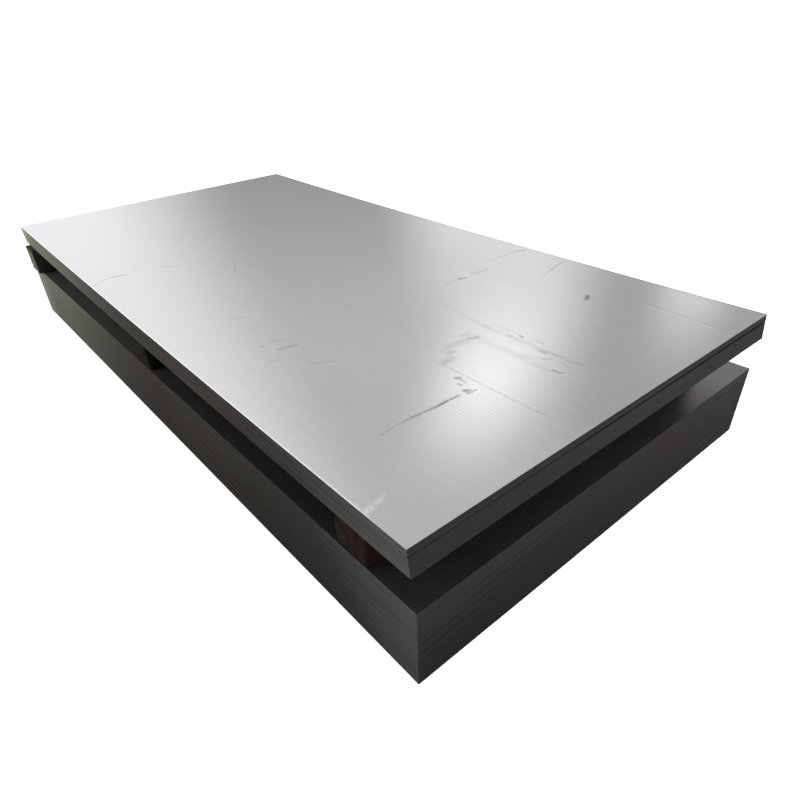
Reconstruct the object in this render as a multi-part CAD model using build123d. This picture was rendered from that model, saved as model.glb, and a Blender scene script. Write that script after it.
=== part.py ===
"""Stack of rolled steel plates: a lower pack, three timber bearers and an upper pack.

Millimetres, +Z up. The origin is the centre of the lower pack's underside, on the floor.
+X runs along the plates to their near end, and +Y across them.
"""

import os
from math import cos, radians, sin, sqrt

from build123d import *

# Plates, all of one stock size
plate_length = 2500.0
plate_width = 1250.0
plate_thickness = 9.0

# Lower pack: flat plates with a hairline of air between them
lower_plate_count = 22
lower_air_gap = 0.5
lower_slip = 0.15

# Upper pack: plates that sag onto a low middle bearer
upper_plate_count = 7
upper_air_gap = 0.5
upper_air_gap_shares = (0.8, 0.8, 0.9, 0.8, 1.9, 0.8)
upper_slip = 0.15
upper_dip = 8.0
upper_lean_along = 6.0
upper_lean_across = 1.5
upper_offset_along = 2.6
upper_offset_across = -5.6
upper_turn_degrees = -0.34

# The turn from one plate's slip to the next one's, which never repeats within a pack
slip_turn_degrees = 137.5

# Bearers: sawn timbers across the lower pack, cut to the space under the upper pack. The far one
# stands out past the plates at both ends, and the other two stop just short of them.
bearer_width = 100.0
bearer_overhang = 15.0
bearer_set_back = 1.0
bearer_arris = 4.0
bearer_space = 101.0
bearer_seat_gap = 0.4
bearer_far_inset = 90.0
bearer_near_inset = 190.0
bearer_middle_offset = 5.0

# Worked out from the sizes above
half_length = plate_length / 2
lower_pitch = plate_thickness + lower_air_gap
lower_height = lower_plate_count * lower_pitch - lower_air_gap
dip_radius = (half_length**2 + upper_dip**2) / (2 * upper_dip)
bearer_places = {
    "bearer_far": (bearer_far_inset - half_length, bearer_overhang),
    "bearer_middle": (bearer_middle_offset, -bearer_set_back),
    "bearer_near": (half_length - bearer_near_inset, -bearer_set_back),
}


def slip(index, amount):
    """How far one plate of a pack has slipped along X and Y from its neighbours."""
    angle = radians(index * slip_turn_degrees)
    return amount * cos(angle), amount * sin(angle)


def sag(x):
    """Height of a sagged plate at x above its two ends: zero at the ends, lowest halfway."""
    return dip_radius - upper_dip - sqrt(dip_radius**2 - x**2)


def flat_plate():
    """One plate that lies flat, standing on z = 0."""
    return Box(plate_length, plate_width, plate_thickness, align=(Align.CENTER, Align.CENTER, Align.MIN))


def sagged_plate():
    """One plate bent to the dip, with its underside's two ends on z = 0."""
    low_left = Vector(-half_length, 0)
    low_right = Vector(half_length, 0)
    low_middle = Vector(0, -upper_dip)
    rise = Vector(0, plate_thickness)
    profile = make_face(
        [
            ThreePointArc(low_left, low_middle, low_right),
            Line(low_right, low_right + rise),
            ThreePointArc(low_right + rise, low_middle + rise, low_left + rise),
            Line(low_left + rise, low_left),
        ]
    )
    return extrude(Plane.XZ * profile, amount=plate_width / 2, both=True)


def bearer(x, overhang):
    """One timber across the lower pack at x, as tall as the lowest plate above it leaves room for."""
    inner_edge = max(abs(x) - bearer_width / 2, 0)
    height = bearer_space + sag(inner_edge) - bearer_seat_gap
    length = plate_width + 2 * overhang
    timber = Box(bearer_width, length, height, align=(Align.CENTER, Align.CENTER, Align.MIN))
    timber = chamfer(timber.edges().filter_by(Axis.Y), bearer_arris)
    return Pos(x, 0, lower_height) * timber


def lower_plates():
    """The lower pack's plates from the floor up, by name."""
    pack = {}
    for index in range(lower_plate_count):
        along, across = slip(index, lower_slip)
        place = Pos(along, across, index * lower_pitch)
        pack[f"lower_plate_{index + 1:02d}"] = place * flat_plate()
    return pack


def upper_plates():
    """The upper pack's plates from the lowest up, by name."""
    pack = {}
    pack_place = Pos(upper_offset_along, upper_offset_across, lower_height + bearer_space)
    pack_turn = Rot(0, 0, upper_turn_degrees)
    height = 0.0
    for index in range(upper_plate_count):
        along, across = slip(index, upper_slip)
        lean_share = 0.5 - index / (upper_plate_count - 1)
        along += lean_share * upper_lean_along
        across += lean_share * upper_lean_across
        pack[f"upper_plate_{index + 1}"] = pack_place * pack_turn * Pos(along, across, height) * sagged_plate()
        gap_share = upper_air_gap_shares[index % len(upper_air_gap_shares)]
        height += plate_thickness + upper_air_gap * gap_share
    return pack


def bearers():
    """The three timbers between the packs, by name."""
    return {name: bearer(x, overhang) for name, (x, overhang) in bearer_places.items()}


os.makedirs("parts", exist_ok=True)
for node, shape in {**lower_plates(), **bearers(), **upper_plates()}.items():
    export_step(shape, f"parts/{node}.step")
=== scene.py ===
"""Looks for a stack of rolled steel plates: two packs with timber bearers between them.

Metres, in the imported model's own frame: +X along the plates to their near end, +Y across them, +Z up.
Each plate is rebuilt with a sheared edge and a slightly uneven outline, and each bearer as sawn timber.
"""

import functools
import itertools
import math
from collections import namedtuple

import bpy
import numpy as np
from mathutils import Matrix, Vector, noise


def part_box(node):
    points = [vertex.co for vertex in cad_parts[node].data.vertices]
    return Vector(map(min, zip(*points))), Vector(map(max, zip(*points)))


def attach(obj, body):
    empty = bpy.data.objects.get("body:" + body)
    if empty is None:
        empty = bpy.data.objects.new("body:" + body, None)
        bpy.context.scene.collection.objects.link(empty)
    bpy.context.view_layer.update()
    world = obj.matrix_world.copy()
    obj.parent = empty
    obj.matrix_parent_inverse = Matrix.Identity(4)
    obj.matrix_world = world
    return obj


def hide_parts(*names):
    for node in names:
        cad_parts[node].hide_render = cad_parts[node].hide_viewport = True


MM = 0.001
TINY = 0.001 * MM
WHITE = (1.0, 1.0, 1.0, 1.0)
ALONG_AND_ACROSS = (1.0, 1.0, 0.0)
ALONG_AND_UP = (1.0, 0.0, 1.0)

# Camera, fitted to the corners of both packs in an 800 by 800 picture
CAMERA_AZIMUTH = 51.33
CAMERA_ELEVATION = 34.767
CAMERA_ROLL = -2.734
CAMERA_DISTANCE = 1.5633
CAMERA_TARGET = (0.7644, -0.2649, 0.1875)
CAMERA_LENS = 27.331
CAMERA_SENSOR = 36
CAMERA_SHIFT = (0.0063, 0.0346)

# Plate edges: inset and height share of each ring, from the top face down to the underside
ROLLOVER_RINGS = ((0.28 * MM, 1.0), (0.10 * MM, 0.989), (0.0, 0.962))
SHEAR_RINGS = ((0.0, 0.945), (0.05 * MM, 0.04), (0.07 * MM, -0.028), (0.30 * MM, 0.0))
BURIED_ROLLOVER_SHARE = 0.35
TOP_BRIGHT_RINGS = 2
SUPPORT_INSET = 1 * MM
TOP_PLATE_CELLS = (120, 60)
PLATE_CELLS = (84, 28)

# Unevenness of the plates, and the rise of the two top ones towards the near right corner
EDGE_WANDER = 0.25 * MM
EDGE_LIFT = 0.10 * MM
WANDER_WAVES = (1.9, 0.83, 0.37, 0.19)
CORNER_LIFT = 1.6 * MM
LEFT_LIFT_SHARE = 0.25
LIFTED_PLATES = 2

# Bearers: sawn timber, with drying checks in its ends that run outwards from the pith
ARRIS = 4 * MM
ARRIS_STEP_SHARE = 0.3
SAWN_WAVE = 0.5 * MM
SAWN_SCALE = (60.0, 9.0, 60.0)
BEARER_CELLS = (26, 90, 24)
PITH_OFFSET = (12 * MM, 0.0, -16 * MM)
CHECK_DEPTH = 7 * MM
CHECK_HALF_WIDTH = 1.6 * MM
CHECK_START = 30 * MM
CHECK_ANGLES = (20, 95, 170, 235, 300)
CHECK_TURN = 25

# Strokes on the top plate in millimetres: the points that each passes, its half width and its strength
DARK_STROKES = {
    "streak by the back edge": (
        (((459, 589), (446, 564)), 8, 0.50),
        (((446, 564), (443, 521), (442, 465)), 7, 0.30),
        (((442, 465), (432, 425)), 7, 0.16),
        (((493, 465), (483, 426)), 9, 0.10),
        (((486, 554), (486, 552)), 5, 0.50),
    ),
    "smudges in line behind it": (
        (((489, 364), (485, 306)), 12, 0.20),
        (((492, 262), (484, 244)), 9, 0.60),
        (((486, 240), (486, 190)), 10, 0.12),
    ),
    "scratch and spot on the right": (
        (((623, 578), (648, 469)), 4.5, 0.35),
        (((648, 469), (653, 443)), 4.5, 0.15),
        (((846, 401), (860, 379)), 8.5, 0.95),
        (((1008, 462), (1199, 449)), 4, 0.14),
    ),
    "dark line of the back edge": (
        (((-1245, 624), (1250, 609.5)), 6, 0.50),
    ),
    "broken lengthwise line": (
        (((612, 72), (707, 56)), 14, 0.07),
        (((707, 56), (770, 50)), 11, 0.12),
        (((770, 50), (800, 46)), 11, 0.20),
        (((800, 46), (853, 51)), 10, 0.11),
        (((853, 51), (867, 50)), 9, 0.26),
        (((867, 50), (945, 45)), 11, 0.16),
        (((945, 45), (1023, 48)), 9, 0.26),
        (((1023, 48), (1048, 45)), 10, 0.12),
        (((1048, 45), (1080, 52)), 9, 0.22),
        (((784, 74), (869, 72)), 10, 0.08),
    ),
    "dashes beside that line": (
        (((875, 69), (889, 66)), 5, 0.46),
        (((927, 77), (946, 73)), 6, 0.20),
        (((961, 37), (985, 37)), 5, 0.46),
        (((957, -8), (976, -3)), 6, 0.14),
        (((996, 10), (1012, 23)), 5.5, 0.28),
        (((1037, 25), (1063, 21)), 6, 0.18),
        (((1047, -17), (1060, -17)), 5, 0.50),
        (((1066, -20), (1069, -12)), 5, 0.44),
    ),
    "rubbed band across": (
        (((791, -99), (800, -40)), 18, 0.20),
        (((796, -33), (806, -13)), 14, 0.34),
        (((773, -35), (776, -15)), 10, 0.20),
        (((817, -131), (819, -113)), 11, 0.24),
        (((796, -126), (799, -107)), 11, 0.14),
        (((845, -166), (840, -142)), 18, 0.24),
        (((848, -176), (854, -175)), 11, 0.28),
    ),
    "faint lengthwise lines": (
        (((810, -17), (892, -17)), 16, 0.10),
        (((892, -17), (966, -19)), 13, 0.13),
        (((989, -27), (1039, -25)), 12, 0.13),
        (((859, -178), (1164, -180)), 4, 0.20),
    ),
    "two ragged spots": (
        (((917, -201), (922, -194)), 7, 0.55),
        (((926, -196), (934, -199)), 5, 0.42),
        (((943, -200), (946, -199)), 5, 0.36),
        (((938, -216), (948, -215)), 5, 0.34),
        (((970, -226), (976, -219)), 8, 0.66),
        (((981, -230), (984, -222)), 6, 0.52),
        (((982, -214), (984, -206)), 5, 0.44),
    ),
    "scratch across": (
        (((975, -251), (973, -283)), 5, 0.60),
        (((973, -283), (974, -312)), 6, 0.70),
        (((974, -312), (971, -343)), 6, 0.55),
        (((971, -343), (969, -381)), 6, 0.50),
        (((969, -381), (968, -420)), 5, 0.34),
        (((968, -420), (973, -470)), 4, 0.24),
    ),
    "faint scuffs on the left": (
        (((402, -139), (404, -137)), 12, 0.10),
        (((242, -417), (249, -385)), 5, 0.15),
        (((463, -372), (439, -407)), 5, 0.20),
        (((449, -439), (451, -437)), 6, 0.26),
        (((498, -418), (504, -372)), 6, 0.42),
        (((535, -473), (546, -448)), 6, 0.16),
        (((620, -400), (635, -380), (650, -353)), 6, 0.14),
    ),
    "curved scuff far left": (
        (((-325, -622), (-349, -586)), 5, 0.20),
        (((-349, -586), (-362, -548)), 5, 0.26),
        (((-362, -548), (-356, -508)), 7, 0.40),
        (((-372, -439), (-383, -463)), 5, 0.15),
        (((-329, -383), (-303, -339)), 5, 0.30),
        (((-207, -169), (-100, -229)), 5, 0.12),
    ),
    "specks by the edge scrape": (
        (((1132, -612), (1128, -604)), 3, 0.50),
        (((1139, -631), (1140, -629)), 3, 0.30),
        (((1115, -630), (1120, -630)), 3, 0.30),
    ),
}
PALE_STROKES = {
    "edge scrape": (
        (((1134, -636), (1130, -616)), 11, 0.42),
        (((1130, -616), (1125, -595)), 8, 0.40),
        (((1125, -595), (1118, -577)), 6, 0.30),
        (((1100, -637), (1120, -634)), 7, 0.30),
    ),
    # Painted highlight: a pale line along the left edge, where its rim catches the light
    "painted highlight along the left edge": (
        (((-1245, -622), (1120, -637)), 3.5, 0.72),
    ),
    "rubbed bright patch": (
        (((912, 8), (945, 21), (985, 24)), 14, 0.35),
        (((916, 41), (960, 41)), 10, 0.30),
    ),
    "spot and line on the right": (
        (((851, 393), (855, 387)), 3.5, 0.25),
        (((1008, 450), (1199, 437)), 5, 0.30),
    ),
}

# Ranges from here on: where a look starts, where it is full and, in some, its strength at both places

# How strokes are drawn: each fades out this much further than its half width, with ragged, patchy sides
STROKE_FADE = 1.3
STROKE_RAG_SCALE = 170.0
STROKE_RAG_DETAIL = 2.0
STROKE_RAG = (8 * MM, 8 * MM, 0.0)
STROKE_PATCHES = (0.32, 0.60, 0.45, 1.0)
STROKE_ROUGHER = 0.2
DARK_SHADE = (0.07, 0.07, 0.075, 1)
PALE_SHADE = (0.92, 0.92, 0.92, 1)

# Rolling lines: spacing, where on the top plate they catch the light, their depth and their drift
ROLL_PITCH = 9.8 * MM
ROLL_CENTRE = (1.05, -0.25, 0.0)
ROLL_FADE = (0.04, 0.19)
ROLL_DEPTH = 0.05
ROLL_DRIFT = 6.0

# Noise: cells a metre along X, Y and Z, the number of finer layers and, for one, how rough they are
CLOUDS = ((2.2, 3.4, 30.0), 4.0)
STREAKS = ((0.8, 60.0, 40.0), 4.0)
GRAIN = ((25.0, 1300.0, 300.0), 2.0)
SMEARS = ((60.0, 160.0, 1.0), 3.0)
EDGE_LAYERS = ((1.5, 1.5, 105.0), 3.0)
EDGE_STAINS = ((2.6, 2.6, 7.0), 4.0)
EDGE_HUES = ((1.7, 2.3, 5.0), 2.0)
SHEAR_MARKS = ((700.0, 700.0, 40.0), 2.0)
SEAM_PATCHES = ((4.0, 4.0, 90.0), 2.0)
GAP_BREAKS = ((1.0, 8.0, 1.0), 3.0)
TIMBER_GRAIN = ((120.0, 3.0, 120.0), 5.0, 0.65)
TIMBER_PATCHES = ((9.0, 2.5, 9.0), 3.0)
SAW_MARKS = ((14.0, 330.0, 14.0), 2.0)

# A noise's mean, and the parts of its values that are spread out: the middle, most and nearly all
NOISE_MEAN = (0.5, 0.5, 0.5)
NOISE_MIDDLE = (0.35, 0.65)
NOISE_RANGE = (0.3, 0.7)
NOISE_EXTENT = (0.2, 0.8)

# Bump: strength, and height in metres
GRAIN_BUMP = (0.12, 0.04 * MM)
SHEAR_BUMP = (0.2, 0.1 * MM)
TIMBER_BUMP = (0.7, 1.2 * MM)

# Rolled faces: two shades of each, those between the packs darker as painted shade, how rough they are,
# and where dust dulls the ones between the packs
TOP_SHADES = ((0.565, 0.565, 0.570, 1), (0.635, 0.635, 0.635, 1))
TOP_CASTS = ((0.990, 0.998, 1.020, 1), (1.008, 1.0, 0.988, 1))
TOP_CAST_ALONG = (0.4, 2.1)
TOP_CAST_DRIFT = 1.6
INNER_PAINTED_SHADES = ((0.205, 0.197, 0.192, 1), (0.268, 0.255, 0.248, 1))
INNER_DUST_ALONG = (-0.7, 0.6)
INNER_METALLIC = (0.84, 0.95)
INNER_ROUGHER = 0.09
ROLLED_ROUGHNESS = (0.13, 0.17)

# Rim of the top plate: the slope that counts as rim, its painted shades, which darken the rim where it
# mirrors too bright, and where the left one darkens
RIM_SLOPE = (0.10, 0.50)
RIM_BACK_PAINTED_SHADE = 0.45
RIM_END_PAINTED_SHADE = 0.30
RIM_CORNER_PAINTED_SHADE = 0.38
RIM_CORNER_ALONG = (1.12, 1.21)

# Sheared edges: shades, and where on the stack stains, dust with painted sheen, lighter tones and
# painted shade start and are full
EDGE_SHARE = "edge_share"
SIDE_SLOPE = (0.5, 0.9)
EDGE_SHADES = ((0.043, 0.043, 0.043, 1), (0.052, 0.052, 0.051, 1))
EDGE_ROUGHNESS = (0.56, 0.46)
EDGE_METALLIC = 0.5
EDGE_SPECULAR_TINT = (0.3, 0.3, 0.3, 1)
STAIN_SHADE = (0.048, 0.043, 0.040, 1)
STAIN_RANGE = (0.45, 0.70, 0.0, 0.7)
# Dust with painted sheen: the left side paler towards the far end, where it catches more light at a
# grazing angle
DUST_AND_SHEEN_SHADE = (0.158, 0.158, 0.144, 1)
DUST_AND_SHEEN_ALONG = (0.1, -1.35)
# Painted sheen with dust, palest at the left side's far end
FAR_DUST_AND_SHEEN_SHADE = (0.290, 0.290, 0.270, 1)
FAR_DUST_AND_SHEEN_ALONG = (-1.08, -1.26)
FAR_DUST_AND_SHEEN_STRENGTH = 0.6
# Lighter towards the left side's near corner
NEAR_CORNER_SHADES = ((0.074, 0.074, 0.075, 1), (0.108, 0.108, 0.109, 1))
NEAR_CORNER_ALONG = (0.88, 1.30)
NEAR_CORNER_STRENGTH = 0.8
# Painted shade on the near end: darker towards its left and on the upper pack
PAINTED_END_SHADE = (0.017, 0.018, 0.0165, 1)
PAINTED_END_SHADE_ACROSS = (0.35, -0.65)
PAINTED_END_SHADE_UP = (0.21, 0.31)
PAINTED_END_SHADE_STRENGTH = 0.34
EDGE_TINTS = ((1.025, 0.98, 1.035, 1), (0.995, 0.998, 0.965, 1))
END_CAST = (1.0, 0.97, 1.015, 1)
LEFT_CASTS = ((1.06, 0.985, 0.90, 1), (1.01, 1.02, 0.91, 1))
LEFT_CAST_CHANGE = (0.1, -0.5)
LEFT_CAST_ALONG = (1.0, 0.4)
# Painted shade and light by height: the sheared edges darker near the floor and lighter high on the
# stack
PAINTED_HEIGHT_SHADE_UP = (0.0, 0.35)
PAINTED_HEIGHT_SHADE_LEVELS = (0.78, 1.12)

# Dark lines on the sheared edges, partly painted shadow by the seams and the widest gap, as shares of a
# plate's thickness, with places in metres
LIP_RANGE = (0.78, 0.92)
TOP_LIP_SHADE = 0.45
SEAM_RANGE = (0.30, 0.05)
SEAM_DEPTH = 0.75
SEAM_PATCH_RANGE = (0.42, 0.62, 0.1, 1.0)
SEAM_ALONG = (0.90, 1.20)
SEAM_UPPER = (0.25, 0.31)
SEAM_UPPER_LEAD = 0.5
GAP_FOOT = (0.34, 0.10)
GAP_LIP = (0.74, 0.94)
GAP_TO_RIGHT = 0.5
GAP_RANGE = (0.40, 0.68, 0.3, 0.85)

# Timber: shades, darkened as painted shade, and where the bearers are grey with painted shade, paled by
# bleach, in painted shadow and in painted shade
# Painted shade: both timber colours made very dark for the shade between the packs
TIMBER_SIDES_IN_PAINTED_SHADE = ((0.009, 0.0050, 0.0044, 1), (0.026, 0.0155, 0.0135, 1))
TIMBER_ENDS_IN_PAINTED_SHADE = ((0.009, 0.0044, 0.0042, 1), (0.020, 0.0105, 0.0100, 1))
TIMBER_END_SLOPE = (0.6, 0.9)
TIMBER_ROUGHNESS = (0.95, 0.78)
TIMBER_SPECULAR = 0.03
TIMBER_RELIEF = (0.7, 0.5)
RING_SHIFT = (35 * MM, 0.0, 30 * MM)
RING_TURN = 1150.0
RING_BEND = 7.0
# Grey with painted shade: the bearers away from the near end turn greyer and much darker
GREY_PAINTED_SHADES = ((0.0075, 0.0072, 0.0056, 1), (0.0050, 0.0047, 0.0040, 1))
GREY_ALONG = (1.2, 0.4, 0.1, 0.85)
FAR_SHADE = (0.030, 0.026, 0.027, 1)
FAR_ALONG = (-0.6, -1.0)
FAR_STRENGTH = 0.85
FAR_BLEACH_SHADE = (0.115, 0.112, 0.074, 1)
FAR_BLEACH_ALONG = ((-1.208, -1.180), (-1.112, -1.135))
FAR_BLEACH_UP = (0.300, 0.285, 0.35, 1.0)
FAR_BLEACH_STRENGTHS = (0.3, 0.85)
# Painted shadow at the near bearer's upper inner corner, under the upper pack, then painted shade
# towards its near face
SHADOW_CORNER = (1.010, 0.309)
SHADOW_REACH = (0.010, 0.045, 0.25, 1.0)
SHADOW_LIMIT = (0.9, 0.8)
NEAR_FACE_ALONG = (1.04, 1.115, 1.0, 0.85)

# Studio wall that the metal reflects: its level low down and high up, then soft panels laid over it.
# Bearings, half widths and softness are in degrees from -X towards +Y, heights in metres, and the
# slant in degrees a metre from the slant height.
WALL_RADIUS = 24.0
WALL_HEIGHT = 40.0
WALL_STEPS = 96
WALL_LEVELS = (0.21, 0.72)
WALL_FADE = (0.0, 12.7)
SLANT_HEIGHT = 10.0
Panel = namedtuple("Panel", "bearing half soft height half_height soft_height slant level")
PANELS = (
    Panel(-22.0, 43.0, 16.0, 10.0, 60.0, 10.0, 0.6, 1.23),
    Panel(78.0, 19.0, 5.5, 10.0, 60.0, 10.0, 0.1, 0.55),
    Panel(51.0, 8.0, 9.0, 3.0, 7.5, 10.0, 0.15, 1.10),
    Panel(53.5, 5.0, 9.0, 14.5, 2.5, 10.0, -0.8, 1.85),
    Panel(69.0, 2.5, 4.0, 8.0, 3.0, 5.0, -0.3, 1.10),
    Panel(140.0, 22.0, 20.0, 10.0, 60.0, 10.0, 0.0, 1.05),
    Panel(-110.0, 24.0, 20.0, 10.0, 60.0, 10.0, 0.0, 1.05),
)

# Floor, lamps and the light from all round
FLOOR_SIZE = 80.0
FLOOR_DROP = 0.5 * MM
FLOOR_COLOUR = (0.86, 0.86, 0.86, 1)
FLOOR_GLOW = 0.60
AMBIENT = 0.55
KEY_LAMP = {"place": (-3.2, -5.0, 3.4), "aim": (0.0, 0.0, 0.2), "size": 3.0, "watts": 310}
FILL_LAMP = {"place": (3.4, 3.2, 1.9), "aim": (1.2, 0.2, 0.2), "size": 2.0, "watts": 215}

PlatePlace = namedtuple("PlatePlace", "matrix length width thickness dip")
RolledSteel = namedtuple("RolledSteel", "material tree shader position clouds colour rough")


def set_inputs(tree, node, **inputs):
    """Sets or links a node's inputs, named with underscores for spaces or as i and a number."""
    for key, value in inputs.items():
        is_number = key[0] == "i" and key[1:].isdigit()
        socket = node.inputs[int(key[1:]) if is_number else key.replace("_", " ")]
        if isinstance(value, bpy.types.NodeSocket):
            tree.links.new(value, socket)
        else:
            socket.default_value = value


def add(tree, kind, settings=None, **inputs):
    """Adds a node with its settings and inputs."""
    node = tree.nodes.new(kind)
    for key, value in (settings or {}).items():
        setattr(node, key, value)
    set_inputs(tree, node, **inputs)
    return node


def maths(tree, operation, a, b=0.0):
    """A Math node's result."""
    return add(tree, "ShaderNodeMath", {"operation": operation}, i0=a, i1=b).outputs[0]


def times(tree, *values):
    """The product of several values."""
    return functools.reduce(functools.partial(maths, tree, "MULTIPLY"), values)


def plus(tree, *values):
    """The sum of several values."""
    return functools.reduce(functools.partial(maths, tree, "ADD"), values)


def minus(tree, a, b):
    """One value less another."""
    return maths(tree, "SUBTRACT", a, b)


def vector_maths(tree, operation, a, b=(0.0, 0.0, 0.0)):
    """A Vector Math node's outputs."""
    return add(tree, "ShaderNodeVectorMath", {"operation": operation}, i0=a, i1=b).outputs


def spread(tree, value, low, high, to_low=0.0, to_high=1.0):
    """A value from one range mapped smoothly to another."""
    node = add(tree, "ShaderNodeMapRange", {"interpolation_type": "SMOOTHSTEP"}, Value=value)
    set_inputs(tree, node, From_Min=low, From_Max=high, To_Min=to_low, To_Max=to_high)
    return node.outputs["Result"]


def stretched_noise(tree, position, scale, detail, roughness=0.55):
    """Noise with its own scale along each axis, from 0 to 1."""
    scaled = vector_maths(tree, "MULTIPLY", position, scale)[0]
    node = add(tree, "ShaderNodeTexNoise", None, Vector=scaled, Scale=1.0)
    set_inputs(tree, node, Detail=detail, Roughness=roughness)
    return node.outputs[0]


def blend_colour(tree, factor, a, b):
    """Two colours mixed by a factor."""
    return add(tree, "ShaderNodeMix", {"data_type": "RGBA"}, i0=factor, i6=a, i7=b).outputs[2]


def tinted(tree, colour, tint):
    """A colour times another."""
    return vector_maths(tree, "MULTIPLY", colour, tint)[0]


def scaled_colour(tree, colour, factor):
    """A colour times a factor."""
    return add(tree, "ShaderNodeVectorMath", {"operation": "SCALE"}, i0=colour, Scale=factor).outputs[0]


def axis_parts(tree, source):
    """The X, Y and Z of a vector."""
    return add(tree, "ShaderNodeSeparateXYZ", None, Vector=source).outputs


def object_position(tree):
    """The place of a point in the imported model's frame."""
    return tree.nodes.new("ShaderNodeTexCoord").outputs["Object"]


def facing_parts(tree):
    """The X, Y and Z of the surface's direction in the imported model's frame."""
    return axis_parts(tree, tree.nodes.new("ShaderNodeTexCoord").outputs["Normal"])


def empty_material(name):
    """A node material with only an output: the material, its tree and the output's surface."""
    material = bpy.data.materials.new(name)
    material.use_nodes = True
    tree = material.node_tree
    tree.nodes.clear()
    return material, tree, tree.nodes.new("ShaderNodeOutputMaterial").inputs["Surface"]


def new_material(name):
    """A node material with a Principled shader: the material, its tree, shader and position."""
    material, tree, surface = empty_material(name)
    shader = tree.nodes.new("ShaderNodeBsdfPrincipled")
    tree.links.new(shader.outputs[0], surface)
    return material, tree, shader, object_position(tree)


def roughen(tree, shader, height, strength, distance):
    """Gives a shader's surface fine bumps."""
    bump = add(tree, "ShaderNodeBump", None, Strength=strength, Distance=distance, Height=height)
    tree.links.new(bump.outputs[0], shader.inputs["Normal"])


def stroke_group():
    """Node group for one stroke: 1 on its middle line, 0 beyond Width from it."""
    group = bpy.data.node_groups.new("plate_stroke", "ShaderNodeTree")
    for name in ("Position", "Along", "Across"):
        group.interface.new_socket(name, in_out="INPUT", socket_type="NodeSocketVector")
    for name in ("Middle Along", "Middle Across", "Half Length", "Width"):
        group.interface.new_socket(name, in_out="INPUT", socket_type="NodeSocketFloat")
    group.interface.new_socket("Mask", in_out="OUTPUT", socket_type="NodeSocketFloat")
    given = group.nodes.new("NodeGroupInput").outputs
    along = vector_maths(group, "DOT_PRODUCT", given["Position"], given["Along"])["Value"]
    along = maths(group, "ABSOLUTE", minus(group, along, given["Middle Along"]))
    past_end = maths(group, "MAXIMUM", minus(group, along, given["Half Length"]), 0.0)
    aside = vector_maths(group, "DOT_PRODUCT", given["Position"], given["Across"])["Value"]
    aside = minus(group, aside, given["Middle Across"])
    squares = plus(group, times(group, past_end, past_end), times(group, aside, aside))
    mask = spread(group, maths(group, "SQRT", squares), 0.0, given["Width"], 1.0, 0.0)
    group.links.new(mask, group.nodes.new("NodeGroupOutput").inputs["Mask"])
    return group


def stroke_mask(tree, position, group, start, end, width):
    """One straight stroke between two points of the plate."""
    start = Vector((*start, 0)) * MM
    end = Vector((*end, 0)) * MM
    middle = (start + end) / 2
    along = (end - start).normalized()
    across = Vector((-along.y, along.x, 0))
    node = add(tree, "ShaderNodeGroup", {"node_tree": group})
    set_inputs(tree, node, Position=position, Along=along, Across=across)
    set_inputs(tree, node, Middle_Along=middle.dot(along), Middle_Across=middle.dot(across))
    set_inputs(tree, node, Half_Length=(end - start).length / 2, Width=width * STROKE_FADE * MM)
    return node.outputs["Mask"]


def strokes_mask(tree, position, families, group):
    """The strongest of several strokes at each point."""
    total = None
    for points, width, strength in itertools.chain(*families.values()):
        for start, end in zip(points[:-1], points[1:]):
            mask = times(tree, stroke_mask(tree, position, group, start, end, width), strength)
            total = mask if total is None else maths(tree, "MAXIMUM", total, mask)
    return total


def scuffed(tree, flat, colour, rough):
    """A colour and roughness with the dark and pale strokes laid over them."""
    ragged = add(tree, "ShaderNodeTexNoise", None, Vector=flat)
    set_inputs(tree, ragged, Scale=STROKE_RAG_SCALE, Detail=STROKE_RAG_DETAIL)
    shaken = vector_maths(tree, "SUBTRACT", ragged.outputs["Color"], NOISE_MEAN)[0]
    shaken = vector_maths(tree, "MULTIPLY", shaken, STROKE_RAG)[0]
    point = vector_maths(tree, "ADD", flat, shaken)[0]
    group = stroke_group()
    patchy = spread(tree, stretched_noise(tree, flat, *SMEARS), *STROKE_PATCHES)
    dark = times(tree, strokes_mask(tree, point, DARK_STROKES, group), patchy)
    pale = times(tree, strokes_mask(tree, point, PALE_STROKES, group), patchy)
    colour = blend_colour(tree, dark, colour, DARK_SHADE)
    colour = blend_colour(tree, pale, colour, PALE_SHADE)
    rough = plus(tree, rough, times(tree, plus(tree, dark, pale), STROKE_ROUGHER))
    return colour, rough


def rolling_lines(tree, flat, clouds):
    """Fine lengthwise lines from the rolls, as a factor around 1, where they catch the light."""
    distance = vector_maths(tree, "DISTANCE", flat, ROLL_CENTRE)["Value"]
    lit = spread(tree, distance, *ROLL_FADE, 1.0, 0.0)
    turn = times(tree, axis_parts(tree, flat)["Y"], 2 * math.pi / ROLL_PITCH)
    line = maths(tree, "SINE", plus(tree, turn, times(tree, clouds, ROLL_DRIFT)))
    return plus(tree, times(tree, line, lit, ROLL_DEPTH), 1.0)


def rim_painted_shade(tree, position):
    """A factor of painted shade that darkens the top plate's rolled-over rim where it mirrors too
    bright, all round but for most of its left side.
    """
    facing = facing_parts(tree)
    along = axis_parts(tree, position)["X"]
    on_back = spread(tree, facing["Y"], *RIM_SLOPE, 1.0, RIM_BACK_PAINTED_SHADE)
    on_end = spread(tree, maths(tree, "ABSOLUTE", facing["X"]), *RIM_SLOPE, 1.0, RIM_END_PAINTED_SHADE)
    left = spread(tree, times(tree, facing["Y"], -1.0), *RIM_SLOPE)
    loss = times(tree, left, spread(tree, along, *RIM_CORNER_ALONG, 0.0, RIM_CORNER_PAINTED_SHADE))
    return times(tree, minus(tree, 1.0, loss), on_back, on_end)


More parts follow.
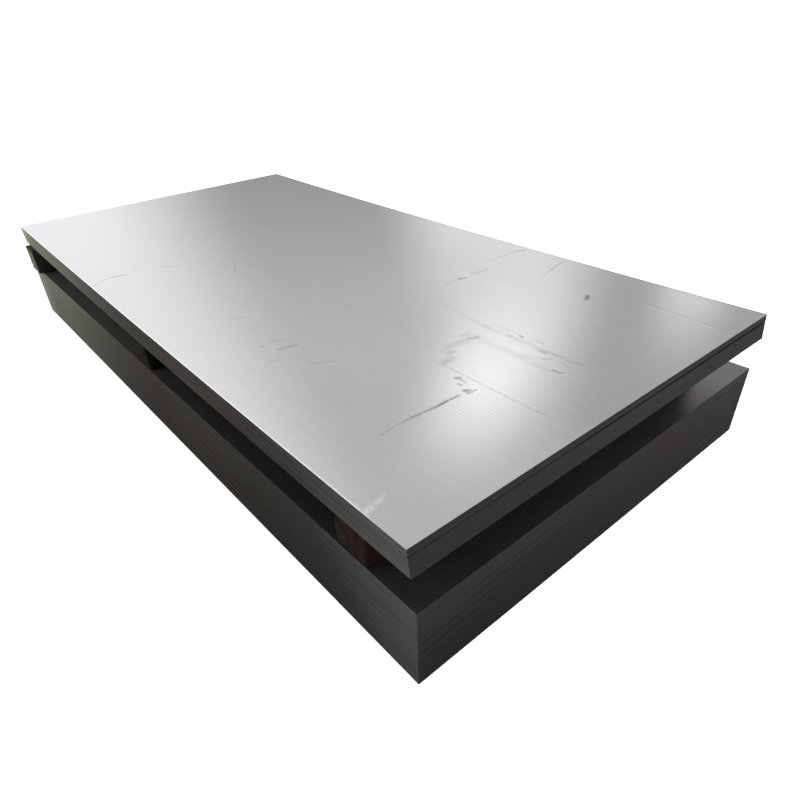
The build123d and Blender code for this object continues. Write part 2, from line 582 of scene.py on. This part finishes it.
def rolled_steel(name, shades):
    """The start of a rolled plate's satin material: lengthwise grain, faint clouds and two shades."""
    material, tree, shader, position = new_material(name)
    clouds = stretched_noise(tree, position, *CLOUDS)
    streaks = stretched_noise(tree, position, *STREAKS)
    tone = times(tree, plus(tree, clouds, streaks), 0.5)
    colour = blend_colour(tree, tone, *shades)
    rough = spread(tree, tone, *NOISE_RANGE, *ROLLED_ROUGHNESS)
    roughen(tree, shader, stretched_noise(tree, position, *GRAIN), *GRAIN_BUMP)
    return RolledSteel(material, tree, shader, position, clouds, colour, rough)


def inner_steel():
    """Every rolled face but those of the top plate: darker than the top as painted shade, and dustier
    towards the far end.
    """
    steel = rolled_steel("rolled_steel", INNER_PAINTED_SHADES)
    along = axis_parts(steel.tree, steel.position)["X"]
    metallic = spread(steel.tree, along, *INNER_DUST_ALONG, *INNER_METALLIC)
    rough = plus(steel.tree, steel.rough, INNER_ROUGHER)
    set_inputs(steel.tree, steel.shader, Base_Color=steel.colour, Roughness=rough, Metallic=metallic)
    return steel.material


def top_steel():
    """The top plate: scuffs, a painted highlight along its left edge, rolling lines, painted shade on
    its rim and a cast, cool at the far end and warm at the near one.
    """
    steel = rolled_steel("rolled_steel_top", TOP_SHADES)
    tree = steel.tree
    flat = vector_maths(tree, "MULTIPLY", steel.position, ALONG_AND_ACROSS)[0]
    drift = times(tree, steel.clouds, TOP_CAST_DRIFT)
    warm = spread(tree, plus(tree, axis_parts(tree, steel.position)["X"], drift), *TOP_CAST_ALONG)
    colour = tinted(tree, steel.colour, blend_colour(tree, warm, *TOP_CASTS))
    colour = scaled_colour(tree, colour, rolling_lines(tree, flat, steel.clouds))
    colour, rough = scuffed(tree, flat, colour, steel.rough)
    # Painted shade on the rim, where it mirrors too bright
    colour = scaled_colour(tree, colour, rim_painted_shade(tree, steel.position))
    set_inputs(tree, steel.shader, Base_Color=colour, Roughness=rough, Metallic=1.0)
    return steel.material


def on_left(tree, facing):
    """1 on the stack's left side, and 0 elsewhere."""
    return spread(tree, times(tree, facing["Y"], -1.0), *SIDE_SLOPE)


def on_near_end(tree, facing):
    """1 on the stack's near end, and 0 elsewhere."""
    return spread(tree, facing["X"], *SIDE_SLOPE)


def edge_colour(tree, position, facing, layers):
    """A sheared edge's colour: stains, then dust with painted sheen towards the far end, lighter tones
    towards the near corner and painted shade on the near end.
    """
    place = axis_parts(tree, position)
    left = on_left(tree, facing)
    stained = spread(tree, stretched_noise(tree, position, *EDGE_STAINS), *STAIN_RANGE)
    # Dust with painted sheen on the left side towards the far end, palest at its very end
    dust_and_sheen = times(tree, left, spread(tree, place["X"], *DUST_AND_SHEEN_ALONG))
    far_dust_and_sheen = times(tree, left, spread(tree, place["X"], *FAR_DUST_AND_SHEEN_ALONG, 0.0, FAR_DUST_AND_SHEEN_STRENGTH))
    lighter_near_corner = times(tree, left, spread(tree, place["X"], *NEAR_CORNER_ALONG, 0.0, NEAR_CORNER_STRENGTH))
    # Painted shade on the near end, darker towards its left and on the upper pack
    drawn = plus(tree, spread(tree, place["Y"], *PAINTED_END_SHADE_ACROSS), spread(tree, place["Z"], *PAINTED_END_SHADE_UP))
    painted_end_shade = times(tree, on_near_end(tree, facing), drawn, PAINTED_END_SHADE_STRENGTH)
    colour = blend_colour(tree, layers, *EDGE_SHADES)
    colour = blend_colour(tree, stained, colour, STAIN_SHADE)
    colour = blend_colour(tree, dust_and_sheen, colour, DUST_AND_SHEEN_SHADE)
    colour = blend_colour(tree, far_dust_and_sheen, colour, FAR_DUST_AND_SHEEN_SHADE)
    colour = blend_colour(tree, lighter_near_corner, colour, blend_colour(tree, layers, *NEAR_CORNER_SHADES))
    return blend_colour(tree, painted_end_shade, colour, PAINTED_END_SHADE)


def edge_cast(tree, position, facing):
    """A sheared edge's slight colour cast: patches of two hues, and one for each side."""
    along = axis_parts(tree, position)["X"]
    hues = spread(tree, stretched_noise(tree, position, *EDGE_HUES), *NOISE_MIDDLE)
    tint = blend_colour(tree, hues, *EDGE_TINTS)
    left_cast = blend_colour(tree, spread(tree, along, *LEFT_CAST_CHANGE), *LEFT_CASTS)
    left = times(tree, on_left(tree, facing), spread(tree, along, *LEFT_CAST_ALONG))
    cast = blend_colour(tree, on_near_end(tree, facing), WHITE, END_CAST)
    return tinted(tree, tint, blend_colour(tree, left, cast, left_cast))


def torn_foot_and_seam_shadow(tree, position, facing, share):
    """A factor that darkens the torn foot of each edge, in patches near the left side's near end: the
    foot's own darker tear with painted shadow of the seam beside it.
    """
    place = axis_parts(tree, position)
    lead = spread(tree, place["Z"], *SEAM_UPPER, 0.0, SEAM_UPPER_LEAD)
    near = spread(tree, plus(tree, place["X"], lead), *SEAM_ALONG)
    patches = spread(tree, stretched_noise(tree, position, *SEAM_PATCHES), *SEAM_PATCH_RANGE)
    foot = spread(tree, share, *SEAM_RANGE)
    return minus(tree, 1.0, times(tree, foot, on_left(tree, facing), SEAM_DEPTH, near, patches))


def gap_shadow(tree, position, facing, share, margin):
    """A factor that darkens a near end's margin by a wide gap: broken, and deeper to the right."""
    beside = times(tree, spread(tree, share, *margin), on_near_end(tree, facing))
    to_right = times(tree, axis_parts(tree, position)["Y"], GAP_TO_RIGHT)
    broken = plus(tree, stretched_noise(tree, position, *GAP_BREAKS), to_right)
    return minus(tree, 1.0, times(tree, beside, spread(tree, broken, *GAP_RANGE)))


def edge_painted_shade(tree, position, facing, lip_shade, gap_margin):
    """A factor that darkens a sheared edge: painted shade low on the stack and painted light high up, a
    darker lip, the torn foot with painted seam shadow, and painted shadow by a gap.
    """
    share = add(tree, "ShaderNodeAttribute", {"attribute_name": EDGE_SHARE}).outputs["Fac"]
    # Painted shade low on the stack, painted light high up
    painted_height_shade = spread(tree, axis_parts(tree, position)["Z"], *PAINTED_HEIGHT_SHADE_UP, *PAINTED_HEIGHT_SHADE_LEVELS)
    lip = spread(tree, share, *LIP_RANGE, 1.0, lip_shade)
    shade = times(tree, painted_height_shade, lip, torn_foot_and_seam_shadow(tree, position, facing, share))
    if gap_margin:
        shade = times(tree, shade, gap_shadow(tree, position, facing, share, gap_margin))
    return shade


def sheared_edge(name, lip_shade=1.0, gap_margin=None):
    """Dull dark edge of a sheared plate: shear marks, streaks, stains and a lip of its own shade."""
    material, tree, shader, position = new_material(name)
    facing = facing_parts(tree)
    layers = stretched_noise(tree, position, *EDGE_LAYERS)
    colour = edge_colour(tree, position, facing, layers)
    colour = tinted(tree, colour, edge_cast(tree, position, facing))
    colour = scaled_colour(tree, colour, edge_painted_shade(tree, position, facing, lip_shade, gap_margin))
    rough = spread(tree, layers, *NOISE_EXTENT, *EDGE_ROUGHNESS)
    set_inputs(tree, shader, Base_Color=colour, Roughness=rough, Metallic=EDGE_METALLIC)
    set_inputs(tree, shader, Specular_IOR_Level=0.0, Specular_Tint=EDGE_SPECULAR_TINT)
    roughen(tree, shader, stretched_noise(tree, position, *SHEAR_MARKS), *SHEAR_BUMP)
    return material


def growth_rings(tree, position, patches):
    """Growth rings on a timber's end, from 0 to 1, bent a little by its patches."""
    shifted = vector_maths(tree, "ADD", position, RING_SHIFT)[0]
    around = vector_maths(tree, "MULTIPLY", shifted, ALONG_AND_UP)[0]
    radius = vector_maths(tree, "LENGTH", around)["Value"]
    turn = plus(tree, times(tree, radius, RING_TURN), times(tree, patches, RING_BEND))
    return spread(tree, maths(tree, "SINE", turn), -1.0, 1.0)


def greyed_and_shaded(tree, position, patches, on_end, colour):
    """A timber colour made greyer and darker towards the far end, partly as painted shade, where the
    far bearer's own ends are paled by bleach.
    """
    place = axis_parts(tree, position)
    along = place["X"]
    grey = spread(tree, plus(tree, along, patches), *GREY_ALONG)
    colour = blend_colour(tree, grey, colour, blend_colour(tree, on_end, *GREY_PAINTED_SHADES))
    is_far = spread(tree, along, *FAR_ALONG)
    colour = blend_colour(tree, times(tree, is_far, FAR_STRENGTH), colour, FAR_SHADE)
    inside = times(tree, *(spread(tree, along, *side) for side in FAR_BLEACH_ALONG))
    inside = spread(tree, inside, 0.0, 1.0, *FAR_BLEACH_STRENGTHS)
    below_top = spread(tree, place["Z"], *FAR_BLEACH_UP)
    return blend_colour(tree, times(tree, inside, below_top, is_far, on_end), colour, FAR_BLEACH_SHADE)


def timber_painted_shade(tree, position):
    """A factor of painted shade: painted shadow at the near bearer's upper inner corner, under the
    upper pack, and painted shade towards its near face.
    """
    place = axis_parts(tree, position)
    corner_along, corner_up = SHADOW_CORNER
    from_corner = plus(tree, minus(tree, place["X"], corner_along), minus(tree, corner_up, place["Z"]))
    corner_shadow = spread(tree, from_corner, *SHADOW_REACH)
    corner_shadow = maths(tree, "MAXIMUM", corner_shadow, spread(tree, place["X"], *SHADOW_LIMIT))
    return times(tree, corner_shadow, spread(tree, place["X"], *NEAR_FACE_ALONG))


def sawn_timber():
    """Timber made dark as painted shade, and greyed by the weather: grain along the bearer, saw marks
    across it and rings on its ends.
    """
    material, tree, shader, position = new_material("sawn_timber")
    grain = stretched_noise(tree, position, *TIMBER_GRAIN)
    patches = stretched_noise(tree, position, *TIMBER_PATCHES)
    saw = stretched_noise(tree, position, *SAW_MARKS)
    on_end = spread(tree, maths(tree, "ABSOLUTE", facing_parts(tree)["Y"]), *TIMBER_END_SLOPE)
    # Both timber colours darkened as painted shade
    side = blend_colour(tree, spread(tree, grain, *NOISE_RANGE), *TIMBER_SIDES_IN_PAINTED_SHADE)
    end = blend_colour(tree, growth_rings(tree, position, patches), *TIMBER_ENDS_IN_PAINTED_SHADE)
    colour = blend_colour(tree, on_end, side, end)
    colour = greyed_and_shaded(tree, position, patches, on_end, colour)
    colour = scaled_colour(tree, colour, timber_painted_shade(tree, position))
    rough = spread(tree, grain, *NOISE_EXTENT, *TIMBER_ROUGHNESS)
    set_inputs(tree, shader, Base_Color=colour, Roughness=rough, Specular_IOR_Level=TIMBER_SPECULAR)
    grain_share, saw_share = TIMBER_RELIEF
    height = plus(tree, times(tree, grain, grain_share), times(tree, saw, saw_share))
    roughen(tree, shader, height, *TIMBER_BUMP)
    return material


def make_piece(name, vertices, faces, materials, indices=None, shares=None):
    """A smooth-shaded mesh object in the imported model's frame."""
    mesh = bpy.data.meshes.new(name)
    mesh.from_pydata(vertices.tolist(), [], faces.tolist())
    for material in materials:
        mesh.materials.append(material)
    if indices is not None:
        mesh.polygons.foreach_set("material_index", np.asarray(indices, dtype=np.int32))
    if shares is not None:
        mesh.attributes.new(EDGE_SHARE, "FLOAT", "POINT").data.foreach_set("value", shares)
    mesh.polygons.foreach_set("use_smooth", np.ones(len(mesh.polygons), dtype=bool))
    mesh.update()
    piece = bpy.data.objects.new(name, mesh)
    bpy.context.scene.collection.objects.link(piece)
    return piece


def plate_place(node):
    """Where a plate node lies and its sizes, from its corners."""
    points = np.array([vertex.co for vertex in node.data.vertices])

    def corner(toward_x, toward_y):
        return points[np.argmax(toward_x * points[:, 0] + toward_y * points[:, 1])][:2]

    near = (corner(1, -1) + corner(1, 1)) / 2
    far = (corner(-1, -1) + corner(-1, 1)) / 2
    along = near - far
    length = float(np.linalg.norm(along))
    width = float(np.linalg.norm(corner(1, 1) - corner(1, -1)))
    at_end = points[np.linalg.norm(points[:, :2] - corner(1, 1), axis=1) < MM]
    low_end = float(at_end[:, 2].min())
    thickness = float(at_end[:, 2].max()) - low_end
    dip = low_end - float(points[:, 2].min())
    turn = math.atan2(along[1], along[0])
    centre = (near + far) / 2
    matrix = Matrix.Translation((centre[0], centre[1], low_end)) @ Matrix.Rotation(turn, 4, "Z")
    return PlatePlace(matrix, length, width, thickness, dip)


def grid_lines(size, cells):
    """Grid lines across a plate, with one close to each edge."""
    inner = np.linspace(-size / 2 + SUPPORT_INSET, size / 2 - SUPPORT_INSET, cells - 1)
    return np.concatenate(([-size / 2], inner, [size / 2]))


def wander(places, draw):
    """A smooth uneven line along an edge, from 0 to 1, with its own phases."""
    total = np.zeros_like(places)
    for wave in WANDER_WAVES:
        total += math.sqrt(wave) * np.sin(2 * np.pi * places / wave + draw.uniform(0, 2 * np.pi))
    return (total - total.min()) / (total.max() - total.min())


class PlateGrid:
    """The points of one plate: a grid along it (u) and across it (v), with an uneven outline."""

    def __init__(self, place, lean, lift, cells, seed):
        self.place = place
        self.lean = lean
        self.lift = lift
        self.lines_u = grid_lines(place.length, cells[0])
        self.lines_v = grid_lines(place.width, cells[1])
        self.shape = (len(self.lines_u), len(self.lines_v))
        self.size = len(self.lines_u) * len(self.lines_v)
        draw = np.random.default_rng(seed)
        self.pull_u = [EDGE_WANDER * wander(self.lines_v, draw) for _ in range(2)]
        self.pull_v = [EDGE_WANDER * wander(self.lines_u, draw) for _ in range(2)]
        self.lift_u = EDGE_LIFT * (wander(self.lines_u, draw) - 0.5)
        self.lift_v = EDGE_LIFT * (wander(self.lines_v, draw) - 0.5)

    def rise(self, share_u, share_v):
        """How far each point lies above a flat plate: the sag, the lifted corner and the unevenness."""
        sag = self.place.dip * ((2 * share_u) ** 2 - 1)
        toward_right = LEFT_LIFT_SHARE + (1 - LEFT_LIFT_SHARE) * (share_v + 0.5) ** 2
        raised = self.lift * (share_u + 0.5) ** 2 * toward_right
        return sag + raised + self.lift_u[:, None] + self.lift_v[None, :]

    def layer(self, inset, height_share):
        """The grid's points at one height of the plate, drawn in by an inset."""
        half_length, half_width = self.place.length / 2, self.place.width / 2
        grid_u, grid_v = np.meshgrid(self.lines_u, self.lines_v, indexing="ij")
        u = np.clip(grid_u, inset - half_length, half_length - inset)
        v = np.clip(grid_v, inset - half_width, half_width - inset)
        for end, inward in ((0, 1), (-1, -1)):
            u[end, :] += inward * self.pull_u[end]
            v[:, end] += inward * self.pull_v[end]
        rise = self.rise(grid_u / self.place.length, grid_v / self.place.width)
        z = height_share * self.place.thickness + rise
        return np.stack([u + height_share * self.lean[0], v + height_share * self.lean[1], z], axis=-1)

    def rim(self):
        """The grid's places round its rim, in order: their numbers along and across."""
        last_u, last_v = self.shape[0] - 1, self.shape[1] - 1
        places = [(i, 0) for i in range(last_u)]
        places += [(last_u, j) for j in range(last_v)]
        places += [(i, last_v) for i in range(last_u, 0, -1)]
        places += [(0, j) for j in range(last_v, 0, -1)]
        return np.array(places).T


def plate_points(grid, rings):
    """A plate's points with their height shares: both faces' grids, then the rings between them."""
    rim = tuple(grid.rim())
    upper_inset, lower_inset = rings[0][0], rings[-1][0]
    points = [grid.layer(upper_inset, 1.0).reshape(-1, 3), grid.layer(lower_inset, 0.0).reshape(-1, 3)]
    shares = [np.ones(grid.size), np.zeros(grid.size)]
    for inset, share in rings[1:-1]:
        points.append(grid.layer(inset, share)[rim])
        shares.append(np.full(len(rim[0]), share))
    placed = [grid.place.matrix @ Vector(point) for point in np.concatenate(points)]
    return np.array(placed), np.concatenate(shares)


def plate_faces(grid, ring_count, bright_rings):
    """A plate's faces and their material numbers: 0 for rolled steel and 1 for the sheared edge.

    Without bright rings, the outer strip of both flat faces counts as edge.
    """
    rim_u, rim_v = grid.rim()
    face_rim = rim_u * grid.shape[1] + rim_v
    ring = 2 * grid.size + np.arange(len(face_rim))
    between = [ring + number * len(ring) for number in range(ring_count - 2)]
    loops = [face_rim, *between, face_rim + grid.size]
    index = np.arange(grid.size).reshape(grid.shape)
    corners = [index[:-1, :-1], index[1:, :-1], index[1:, 1:], index[:-1, 1:]]
    top = np.stack(corners, axis=-1).reshape(-1, 4)
    border = np.full((grid.shape[0] - 1, grid.shape[1] - 1), int(bright_rings == 0))
    border[1:-1, 1:-1] = 0
    faces = [top, top[:, ::-1] + grid.size]
    slots = [np.tile(border.reshape(-1), 2)]
    for number, (upper, lower) in enumerate(zip(loops[:-1], loops[1:])):
        faces.append(np.stack([upper, lower, np.roll(lower, -1), np.roll(upper, -1)], axis=-1))
        slots.append(np.full(len(ring), int(number >= bright_rings)))
    return np.concatenate(faces), np.concatenate(slots)


def rolled_plate(name, grid, materials, rollover_share, bright_rings):
    """One plate: flat faces, a rolled-over upper edge and sheared sides that lean to the next plate."""
    rings = []
    for inset, share in ROLLOVER_RINGS:
        rings.append((inset * rollover_share, 1 - (1 - share) * rollover_share))
    rings.extend(SHEAR_RINGS)
    points, shares = plate_points(grid, rings)
    faces, slots = plate_faces(grid, len(rings), bright_rings)
    return make_piece(name, points, faces, materials, slots, shares)


def bearer_lines(low, high, cells):
    """Grid lines along one axis of a bearer, close together at its rounded arrises."""
    step = ARRIS_STEP_SHARE * ARRIS
    inner = np.linspace(low + ARRIS, high - ARRIS, cells - 3)
    return np.concatenate(([low, low + step], inner, [high - step, high]))


def box_shell(lines):
    """The points and squares of a box's six sides, from its grid lines along each axis."""
    counts = [len(line) for line in lines]
    numbers = {}
    squares = []
    for axis in range(3):
        first, second = (axis + 1) % 3, (axis + 2) % 3
        for end in (0, counts[axis] - 1):
            for i, j in itertools.product(range(counts[first] - 1), range(counts[second] - 1)):
                square = []
                for step_i, step_j in ((0, 0), (1, 0), (1, 1), (0, 1)):
                    place = {axis: end, first: i + step_i, second: j + step_j}
                    square.append(numbers.setdefault((place[0], place[1], place[2]), len(numbers)))
                squares.append(square if end else square[::-1])
    points = [[line[step] for line, step in zip(lines, place)] for place in numbers]
    return np.array(points), np.array(squares)


def sawn_surface(points, low, high, seed):
    """A box's points, moved to rounded arrises and an uneven sawn surface."""
    inside = np.clip(points, low + ARRIS, high - ARRIS)
    out = points - inside
    direction = out / np.maximum(np.linalg.norm(out, axis=1, keepdims=True), TINY)
    shift = Vector((0, seed, 0))
    rough = np.array([noise.noise(Vector(place) + shift) for place in points * SAWN_SCALE])
    return inside + direction * (ARRIS - SAWN_WAVE * (1 + rough)[:, None])


def check_depths(points, low, high, seed):
    """How far the drying checks move each point of a timber along Y, towards its middle."""
    offset = points - (low + high) / 2 - PITH_OFFSET
    angle = np.degrees(np.arctan2(offset[:, 2], offset[:, 0]))
    radius = np.hypot(offset[:, 0], offset[:, 2])
    on_end = (points[:, 1] <= low[1] + TINY) | (points[:, 1] >= high[1] - TINY)
    share = np.zeros(len(points))
    for check in CHECK_ANGLES:
        away = np.radians((angle - check - CHECK_TURN * seed + 180) % 360 - 180)
        miss = np.abs(np.sin(away)) * radius
        cut = np.clip(1 - miss / CHECK_HALF_WIDTH, 0, 1) * np.clip(radius / CHECK_START, 0, 1)
        share += cut * (np.cos(away) > 0)
    return -np.sign(offset[:, 1]) * np.where(on_end, share * CHECK_DEPTH, 0)


def sawn_bearer(name, node, seed, material):
    """One timber: rounded arrises, an uneven sawn surface and drying checks in its ends."""
    low, high = (np.array(corner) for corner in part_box(node))
    lines = [bearer_lines(*ends) for ends in zip(low, high, BEARER_CELLS)]
    points, squares = box_shell(lines)
    shaped = sawn_surface(points, low, high, seed)
    shaped[:, 1] += check_depths(points, low, high, seed)
    return make_piece(name, shaped, squares, [material])


def air_above(lower, upper):
    """The air between two plates of one pack, or none where they are in different packs."""
    air = upper.matrix.translation.z - lower.matrix.translation.z - lower.thickness
    return air if air < lower.thickness else 0.0


def lean_towards(lower, upper):
    """How far a plate's sides lean towards the plate above it in its pack."""
    lean = upper.matrix.translation - lower.matrix.translation
    return lean if lean.length < 2 * lower.thickness else Vector()


def plate_materials(stack):
    """The face and edge materials of each plate of the stack, with dark margins by the widest gap."""
    face = inner_steel()
    edge = sheared_edge("sheared_edge")
    gaps = [air_above(lower, upper) for lower, upper in zip(stack[:-1], stack[1:])]
    under_gap = gaps.index(max(gaps))
    materials = [[face, edge] for _ in stack]
    materials[under_gap] = [face, sheared_edge("sheared_edge_under_gap", gap_margin=GAP_LIP)]
    materials[under_gap + 1] = [face, sheared_edge("sheared_edge_over_gap", gap_margin=GAP_FOOT)]
    materials[-1] = [top_steel(), sheared_edge("sheared_edge_top", TOP_LIP_SHADE)]
    return materials


def dress_plates(nodes):
    """Every plate node, replaced by a rolled plate."""
    places = {name: plate_place(nodes[name]) for name in sorted(nodes) if "plate" in name}
    names = sorted(places, key=lambda name: places[name].matrix.translation.z)
    stack = [places[name] for name in names]
    materials = plate_materials(stack)
    for seed, name in enumerate(names):
        is_top = name == names[-1]
        cells = TOP_PLATE_CELLS if is_top else PLATE_CELLS
        lean = Vector() if is_top else lean_towards(stack[seed], stack[seed + 1])
        lift = CORNER_LIFT if name in names[-LIFTED_PLATES:] else 0.0
        edge = (1.0, TOP_BRIGHT_RINGS) if is_top else (BURIED_ROLLOVER_SHARE, 0)
        grid = PlateGrid(stack[seed], lean, lift, cells, seed)
        piece = rolled_plate(f"{name}_rolled", grid, materials[seed], *edge)
        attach(piece, "root")
        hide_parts(name)


def dress_bearers(nodes, timber):
    """Every bearer node, replaced by a sawn timber."""
    for seed, name in enumerate(sorted(name for name in nodes if "bearer" in name)):
        piece = sawn_bearer(f"{name}_sawn", name, seed, timber)
        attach(piece, "root")
        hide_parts(name)


def seen_directly(tree):
    """1 for rays from the camera, from metal and through glass, and 0 for the rest."""
    path = tree.nodes.new("ShaderNodeLightPath").outputs
    either = maths(tree, "MAXIMUM", path["Is Camera Ray"], path["Is Glossy Ray"])
    return maths(tree, "MAXIMUM", either, path["Is Transmission Ray"])


def make_floor():
    """A pale floor that keeps the stack's shadow."""
    half = FLOOR_SIZE / 2
    corners = np.array([(-half, -half, 0), (half, -half, 0), (half, half, 0), (-half, half, 0)])
    material, tree, surface = empty_material("pale_floor")
    matt = add(tree, "ShaderNodeBsdfDiffuse", None, Color=FLOOR_COLOUR)
    strength = times(tree, seen_directly(tree), FLOOR_GLOW)
    glow = add(tree, "ShaderNodeEmission", None, Color=WHITE, Strength=strength)
    both = add(tree, "ShaderNodeAddShader", None, i0=matt.outputs[0], i1=glow.outputs[0])
    tree.links.new(both.outputs[0], surface)
    floor = make_piece("floor", corners, np.array([[0, 1, 2, 3]]), [material])
    floor.location.z = -FLOOR_DROP


def panel_mask(tree, bearing, height, panel):
    """1 on a soft-edged panel of the wall, and 0 away from it."""
    lean = times(tree, minus(tree, height, SLANT_HEIGHT), panel.slant)
    beside = maths(tree, "ABSOLUTE", minus(tree, minus(tree, bearing, lean), panel.bearing))
    above = maths(tree, "ABSOLUTE", minus(tree, height, panel.height))
    ends = (panel.half - panel.soft / 2, panel.half + panel.soft / 2)
    tops = (panel.half_height - panel.soft_height / 2, panel.half_height + panel.soft_height / 2)
    return times(tree, spread(tree, beside, *ends, 1.0, 0.0), spread(tree, above, *tops, 1.0, 0.0))


def wall_level(tree):
    """How bright the studio wall is at each point."""
    parts = axis_parts(tree, object_position(tree))
    bearing = maths(tree, "DEGREES", maths(tree, "ARCTAN2", parts["Y"], times(tree, parts["X"], -1.0)))
    level = spread(tree, parts["Z"], *WALL_FADE, *WALL_LEVELS)
    for panel in PANELS:
        mask = panel_mask(tree, bearing, parts["Z"], panel)
        level = plus(tree, level, times(tree, minus(tree, panel.level, level), mask))
    return level


def make_wall():
    """A round studio wall with soft panels, which only metal reflects."""
    turns = np.linspace(0, 2 * np.pi, WALL_STEPS, endpoint=False)
    ring = np.stack([np.cos(turns), np.sin(turns)], axis=-1) * WALL_RADIUS
    low = np.column_stack([ring, np.zeros(WALL_STEPS)])
    high = np.column_stack([ring, np.full(WALL_STEPS, WALL_HEIGHT)])
    lower = np.arange(WALL_STEPS)
    upper = lower + WALL_STEPS
    faces = np.stack([lower, np.roll(lower, -1), np.roll(upper, -1), upper], axis=-1)
    material, tree, surface = empty_material("studio_panels")
    glow = add(tree, "ShaderNodeEmission", None, Color=WHITE, Strength=wall_level(tree))
    tree.links.new(glow.outputs[0], surface)
    wall = make_piece("studio_wall", np.concatenate([low, high]), faces, [material])
    wall.visible_camera = False
    wall.visible_diffuse = False
    wall.visible_shadow = False


def make_world():
    """White to the eye and in metal, with a softer level of light on matt surfaces."""
    world = bpy.data.worlds.new("studio")
    bpy.context.scene.world = world
    world.use_nodes = True
    tree = world.node_tree
    strength = spread(tree, seen_directly(tree), 0.0, 1.0, AMBIENT, 1.0)
    set_inputs(tree, tree.nodes["Background"], Color=WHITE, Strength=strength)


def soft_lamp(name, place, aim, size, watts):
    """A large soft square lamp, which metal doesn't mirror."""
    light = bpy.data.lights.new(name, "AREA")
    light.size = size
    light.energy = watts
    lamp = bpy.data.objects.new(name, light)
    lamp.visible_glossy = False
    lamp.location = place
    lamp.rotation_euler = (Vector(aim) - Vector(place)).to_track_quat("-Z", "Y").to_euler()
    bpy.context.scene.collection.objects.link(lamp)


def make_camera():
    """The camera at the picture's viewing angle."""
    azimuth = math.radians(CAMERA_AZIMUTH)
    elevation = math.radians(CAMERA_ELEVATION)
    flat = math.cos(elevation)
    back = Vector((math.sin(azimuth) * flat, -math.cos(azimuth) * flat, math.sin(elevation)))
    data = bpy.data.cameras.new("camera")
    data.sensor_width = CAMERA_SENSOR
    data.lens = CAMERA_LENS
    data.shift_x, data.shift_y = CAMERA_SHIFT
    camera = bpy.data.objects.new("camera", data)
    place = Matrix.Translation(Vector(CAMERA_TARGET) + back * CAMERA_DISTANCE)
    turn = (-back).to_track_quat("-Z", "Y").to_matrix().to_4x4()
    roll = Matrix.Rotation(math.radians(CAMERA_ROLL), 4, "Z")
    camera.matrix_world = place @ turn @ roll
    bpy.context.scene.collection.objects.link(camera)
    bpy.context.scene.camera = camera


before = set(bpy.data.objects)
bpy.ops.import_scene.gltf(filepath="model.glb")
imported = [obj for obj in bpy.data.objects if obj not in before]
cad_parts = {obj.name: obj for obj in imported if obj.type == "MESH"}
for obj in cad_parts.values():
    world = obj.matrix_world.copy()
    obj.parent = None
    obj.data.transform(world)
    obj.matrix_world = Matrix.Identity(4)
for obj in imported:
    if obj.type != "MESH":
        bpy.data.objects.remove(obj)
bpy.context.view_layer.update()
dress_plates(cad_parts)
dress_bearers(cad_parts, sawn_timber())
make_floor()
make_wall()
make_world()
soft_lamp("key_lamp", **KEY_LAMP)
soft_lamp("fill_lamp", **FILL_LAMP)
make_camera()
bpy.context.scene.view_settings.view_transform = "Standard"
